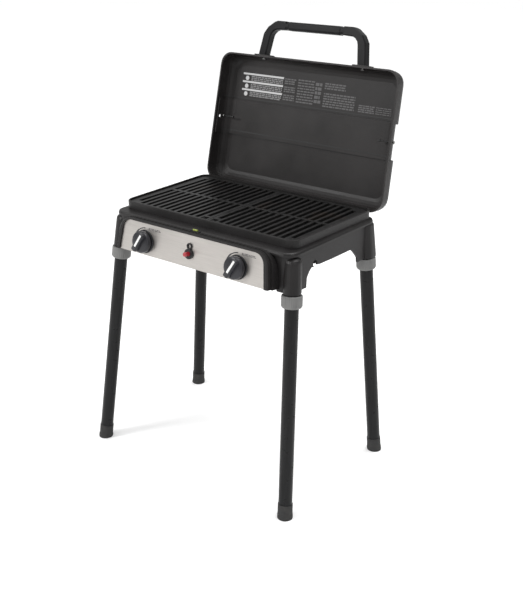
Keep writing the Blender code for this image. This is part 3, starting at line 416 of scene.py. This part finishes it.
def knob_piece(side):
    """Fine knob: domed skirt with a rounded finger bar, and its white pointer strip."""
    name = "right" if side > 0 else "left"
    bm = bmesh.new()
    profile = [(16.0, 0.4), (24.6, 0.0), (25.8, 0.5), (26.0, 1.6), (25.8, 5.0), (25.3, 8.4),
               (24.6, 9.8), (23.2, 10.8), (20.5, 11.5), (15.0, 12.3), (9.0, 12.8), (3.0, 13.0)]

    def flute(angle):
        return 0.18 * MM * math.cos(30.0 * angle)

    rings = [ring(r * MM, z * MM, 120, flute if 1.0 < z < 9.0 else None) for r, z in profile]
    loft_into(bm, rings)
    shape = [(8.0, 24.2, 9.0, 4.6), (7.8, 24.4, 12.0, 4.6), (7.3, 24.3, 16.0, 4.2), (6.9, 24.0, 19.0, 4.0),
             (6.2, 23.4, 20.4, 3.6), (5.0, 22.4, 21.0, 3.0)]
    loft_into(bm, [[(x, y, z * MM) for x, y in rounded_rect(hx * MM, hy * MM, r * MM, 8)]
                   for hx, hy, z, r in shape])
    front = Vector((side * KNOB_X, KNOB_FRONT, 0.0))
    turn = Matrix.Rotation(KNOB_REST, 4, "Y") @ Matrix.Rotation(math.radians(90.0), 4, "X")
    place = CONSOLE @ Matrix.Translation(front) @ turn
    item = finished(bm, f"fine_knob_{name}", KNOB_PLASTIC, place)
    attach(item, f"knob_{name}")
    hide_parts(f"knob_{name}")
    bm = bmesh.new()
    middle = 0.5 * (POINTER_LOW + POINTER_HIGH)
    half = 0.5 * (POINTER_HIGH - POINTER_LOW)
    layers = [(2.7, 19.6, 0.0), (2.7, 21.1, 0.0), (2.3, 21.35, 0.4)]
    rows = []
    for hx, z, cutback in layers:
        outline = rounded_rect(hx * MM, half - cutback * MM, 1.2 * MM, 5)
        rows.append([(x, middle + y, z * MM) for x, y in outline])
    loft_into(bm, rows)
    item = finished(bm, f"fine_pointer_{name}", WHITE, place)
    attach(item, f"knob_{name}")
    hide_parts(f"knob_pointer_{name}")


for which in (-1, 1):
    knob_piece(which)


# ---------------------------------------------------------------- collars

def collar_piece(where):
    """Fine twist-lock collar with rounded vertical ribs between two smooth rings."""
    centre, foot = (Vector(p) for p in LEGS[where])
    direction = (centre - foot).normalized()
    bm = bmesh.new()
    steps = 192

    def ribs(angle):
        return 1.0 * MM * (abs(math.cos(15.0 * angle)) ** 0.5) - 1.0 * MM

    profile = [(18.8, 13.9, 0), (22.3, 14.0, 0), (22.9, 13.5, 0), (23.0, 12.4, 0),
               (23.4, 11.6, 1), (23.5, 10.4, 1), (23.5, -8.6, 1), (23.3, -10.0, 1),
               (22.4, -10.6, 0), (22.2, -11.8, 0), (20.8, -13.4, 0), (20.0, -14.0, 0),
               (17.0, -14.0, 0), (16.7, -13.0, 0), (16.7, 0.0, 0), (18.4, 0.6, 0), (18.6, 13.0, 0)]
    rings = [ring(r * MM, z * MM, steps, ribs if ribbed else None) for r, z, ribbed in profile]
    loft_into(bm, rings, wrap=True)
    item = finished(bm, f"fine_collar_{where}", GREY, along(centre, direction))
    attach(item, f"collar_{where}")
    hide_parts(f"collar_{where}")


for which in LEGS:
    collar_piece(which)


# ---------------------------------------------------------------- printed marks and painted crease shadows

def flat_strip(bm, points, width, height, z0=0.0):
    """Thin strip along a polyline in the XY plane of the bmesh."""
    rows = []
    count = len(points)
    for i, (x, y) in enumerate(points):
        before = Vector(points[max(i - 1, 0)])
        after = Vector(points[min(i + 1, count - 1)])
        run = (after - before).normalized()
        side = Vector((-run.y, run.x)) * (width / 2.0)
        rows.append([(x + side.x, y + side.y, z0), (x - side.x, y - side.y, z0),
                     (x - side.x, y - side.y, z0 + height), (x + side.x, y + side.y, z0 + height)])
    loft_into(bm, rows)


def dashes(bm, left, right, low, high, rows, seed, z0, fill=0.45):
    """Rows of short printed dashes of uneven length."""
    pitch = (high - low) / rows
    for row in range(rows):
        y = low + (row + 0.5) * pitch
        x = left
        step = 0
        while x < right - 2.0 * MM:
            long = (3.0 + 8.0 * abs(math.sin(seed + 2.3 * row + 1.7 * step))) * MM
            end = min(x + long, right)
            flat_strip(bm, [(x, y), (end, y)], pitch * fill, PRINT_HEIGHT, z0)
            x = end + 1.8 * MM
            step += 1


def console_prints():
    """Printed dials and short marks round the knobs."""
    upright = CONSOLE @ Matrix.Rotation(math.radians(90.0), 4, "X")
    for side in (-1, 1):
        name = "right" if side > 0 else "left"
        bm = bmesh.new()
        centre = side * KNOB_X

        def arc(start, end, radius, width):
            points = []
            for k in range(25):
                angle = math.radians(90.0 - (start + (end - start) * k / 24.0))
                points.append((centre + radius * math.cos(angle), radius * math.sin(angle)))
            flat_strip(bm, points, width, 0.12 * MM, 0.02 * MM)

        arc(-80.0, -40.0, 32.0 * MM, 3.6 * MM)
        arc(-40.0, -2.0, 31.6 * MM, 2.4 * MM)
        arc(-106.0, -84.0, 32.4 * MM, 5.6 * MM)
        item = finished(bm, f"console_dial_{name}", DARK_INK, upright, smooth=False)
        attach(item, "stove_body")
        bm = bmesh.new()
        dashes(bm, centre + 9.0 * MM, centre + 47.0 * MM, 28.5 * MM, 34.0 * MM, 2, 0.6, 0.02 * MM, 0.6)
        item = finished(bm, f"console_print_{name}", GREY_INK, upright, smooth=False)
        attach(item, "stove_body")


console_prints()


def paint_lid_crease_shadows():
    """Near-black strips along both sides of the sunken middle band: painted shadow in its creases."""
    bm = bmesh.new()
    for across, sunk in LID_SEAM_SHADOWS:
        drop = LID_BAND_SINK if sunk else 0.0
        total = LID_DEPTH - drop
        half = 268.5 - (across - LID_EDGE / MM) * 9.1 / 330.0 - drop
        section = []
        for k in range(9):
            angle = math.radians(80.0 - 10.0 * k)
            inset = LID_WALL_INSET + LID_CORNER * (1.0 - math.cos(angle)) + 0.12
            section.append((half - inset, total - LID_CORNER + LID_CORNER * math.sin(angle) - 0.12))
        path = [(-x, d) for x, d in section[::-1]] + section
        low = (across - 0.5 * SEAM_SHADOW_WIDTH) * MM
        high = (across + 0.5 * SEAM_SHADOW_WIDTH) * MM
        rows = []
        for x, depth in path:
            z = LID_PLANE - depth * MM
            top = z + 0.25 * MM
            rows.append([(x * MM, low, z), (x * MM, high, z), (x * MM, high, top), (x * MM, low, top)])
        loft_into(bm, rows)
    # These strips are painted shadow that stands in for the shade on the band's steps.
    item = finished(bm, "lid_seam_painted_shadows", SEAM_PAINTED_SHADOW, LID, smooth=False)
    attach(item, "lid")


paint_lid_crease_shadows()


def disc(bm, x, y, radius, z0, height=PRINT_HEIGHT, steps=20):
    """Small printed dot."""
    rows = []
    for z in (z0, z0 + height):
        rows.append([(x + radius * math.cos(2.0 * math.pi * k / steps),
                      y + radius * math.sin(2.0 * math.pi * k / steps), z) for k in range(steps)])
    loft_into(bm, rows)


def lid_label():
    """Unlettered instruction label: outlined rows on the left, dash blocks on the right."""
    z0 = LID_PLANE - LID_DEPTH * MM + 0.05 * MM
    bright = bmesh.new()
    grey = bmesh.new()
    middle = bmesh.new()
    for row in range(3):
        top = (290.0 - 20.0 * row) * MM
        bar = top - 2.4 * MM
        flat_strip(bright, [(-219.0 * MM, bar), (-90.0 * MM, bar)], 4.6 * MM, PRINT_HEIGHT, z0)
        disc(bright, -205.0 * MM, top - 13.0 * MM, 5.6 * MM, z0)
        dashes(middle, -192.0 * MM, -92.0 * MM, top - 19.0 * MM, top - 6.0 * MM, 3, 0.4 + row, z0, 0.62)
        dashes(grey, -86.0 * MM, -52.0 * MM, top - 17.0 * MM, top - 1.0 * MM, 3, 1.9 + row, z0, 0.62)
    dashes(grey, -45.0 * MM, 6.0 * MM, 231.0 * MM, 291.0 * MM, 9, 0.9, z0, 0.5)
    dashes(grey, 8.0 * MM, 28.0 * MM, 236.0 * MM, 288.0 * MM, 5, 2.2, z0, 0.7)
    dashes(grey, 35.0 * MM, 96.0 * MM, 273.0 * MM, 290.0 * MM, 3, 0.2, z0, 0.62)
    dashes(grey, 35.0 * MM, 126.0 * MM, 230.0 * MM, 266.0 * MM, 6, 1.1, z0, 0.58)
    dashes(grey, 138.0 * MM, 182.0 * MM, 230.0 * MM, 249.0 * MM, 4, 0.7, z0, 0.6)
    dashes(grey, 186.0 * MM, 228.0 * MM, 230.0 * MM, 249.0 * MM, 4, 1.6, z0, 0.4)
    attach(finished(bright, "lid_label_bright", PALE_INK, LID, smooth=False), "lid")
    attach(finished(middle, "lid_label_middle", MIDDLE_INK, LID, smooth=False), "lid")
    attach(finished(grey, "lid_label_grey", GREY_INK, LID, smooth=False), "lid")


lid_label()


def peg_rivets():
    """Bright rivet heads at both faces of the lid walls, on the two blacked pegs."""
    for side in (-1, 1):
        name = "right" if side > 0 else "left"
        bm = bmesh.new()
        for x, out in ((260.6, 1.0), (251.7, -1.0)):
            rows = []
            for radius, rise in ((2.9, 0.0), (2.7, 0.6), (2.0, 1.2), (1.0, 1.5)):
                at = side * (x + out * (rise + 0.02)) * MM
                points = []
                for a in range(20):
                    turn = a * math.pi / 10.0
                    across = LID_EDGE + 168.0 * MM + radius * MM * math.cos(turn)
                    points.append((at, across, LID_PLANE - 25.0 * MM + radius * MM * math.sin(turn)))
                rows.append(points)
            loft_into(bm, rows)
        item = finished(bm, f"peg_rivet_{name}", ZINC, LID)
        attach(item, "lid")


peg_rivets()


# ---------------------------------------------------------------- stage, lights, camera

def floor():
    """Plain pale floor."""
    bm = bmesh.new()
    bmesh.ops.create_grid(bm, x_segments=8, y_segments=8, size=30.0)
    shade = Shader("pale_floor", (0.93, 0.93, 0.93), 0.0, 0.55)
    cloud = shade.noise(0.8, 2.0)
    patches = shade.ramp(cloud, 0.3, 0.7, 0.0, 1.0)
    shade.colour(shade.blend(patches, (0.925, 0.925, 0.925), (0.94, 0.94, 0.94)))
    shade.surface.inputs["Specular IOR Level"].default_value = 0.1
    shade.surface.inputs["Emission Color"].default_value = (1.0, 1.0, 1.0, 1.0)
    shade.surface.inputs["Emission Strength"].default_value = 0.13
    item = finished(bm, "floor", shade.made, Matrix.Translation((0.0, 0.0, -0.0005)), smooth=False)


def area_light(name, location, target, size, power):
    """Soft rectangular light aimed at a point."""
    lamp = bpy.data.lights.new(name, "AREA")
    lamp.shape = "RECTANGLE"
    lamp.size = size[0]
    lamp.size_y = size[1]
    lamp.energy = power
    item = bpy.data.objects.new(name, lamp)
    item.location = location
    aim = (Vector(target) - Vector(location)).to_track_quat("-Z", "Y")
    item.rotation_euler = aim.to_euler()
    bpy.context.scene.collection.objects.link(item)


def studio():
    """Surroundings that are bright overhead and dim low down, and three small soft boxes."""
    world = bpy.data.worlds.new("studio")
    world.use_nodes = True
    tree = world.node_tree
    sky = tree.nodes["Background"]
    sky.inputs["Color"].default_value = (1.0, 1.0, 1.0, 1.0)
    direction = tree.nodes.new("ShaderNodeTexCoord")
    split = tree.nodes.new("ShaderNodeSeparateXYZ")
    height = tree.nodes.new("ShaderNodeMapRange")
    height.inputs["From Min"].default_value = 0.0
    height.inputs["From Max"].default_value = 1.0
    height.inputs["To Min"].default_value = 0.22
    height.inputs["To Max"].default_value = 1.35
    tree.links.new(direction.outputs["Generated"], split.inputs["Vector"])
    tree.links.new(split.outputs["Z"], height.inputs["Value"])
    seen = tree.nodes.new("ShaderNodeLightPath").outputs["Is Camera Ray"]
    level = tree.nodes.new("ShaderNodeMix")
    level.inputs[3].default_value = 1.0
    tree.links.new(seen, level.inputs[0])
    tree.links.new(height.outputs["Result"], level.inputs[2])
    tree.links.new(level.outputs[0], sky.inputs["Strength"])
    bpy.context.scene.world = world
    area_light("key", (-1.9, -3.0, 2.6), (0.0, 0.0, 0.6), (0.9, 0.9), 75.0)
    area_light("side", (3.2, -1.6, 2.0), (0.0, 0.0, 0.6), (0.25, 1.6), 12.0)
    area_light("top", (0.3, 0.9, 3.6), (0.0, 0.0, 0.5), (1.2, 1.2), 45.0)


def photographer():
    """Camera at the viewing angle of the photograph."""
    lens = bpy.data.cameras.new("camera")
    lens.sensor_fit = "AUTO"
    lens.sensor_width = SENSOR_WIDTH
    lens.lens = FOCAL_LENGTH
    lens.shift_x = LENS_SHIFT_X
    lens.shift_y = LENS_SHIFT_Y
    lens.clip_end = 200.0
    item = bpy.data.objects.new("camera", lens)
    item.location = CAMERA_PLACE
    item.rotation_euler = (math.radians(90.0 - CAMERA_DOWN), 0.0, math.radians(CAMERA_TURN))
    bpy.context.scene.collection.objects.link(item)
    bpy.context.scene.camera = item


floor()
studio()
photographer()
bpy.context.scene.view_settings.view_transform = "Standard"
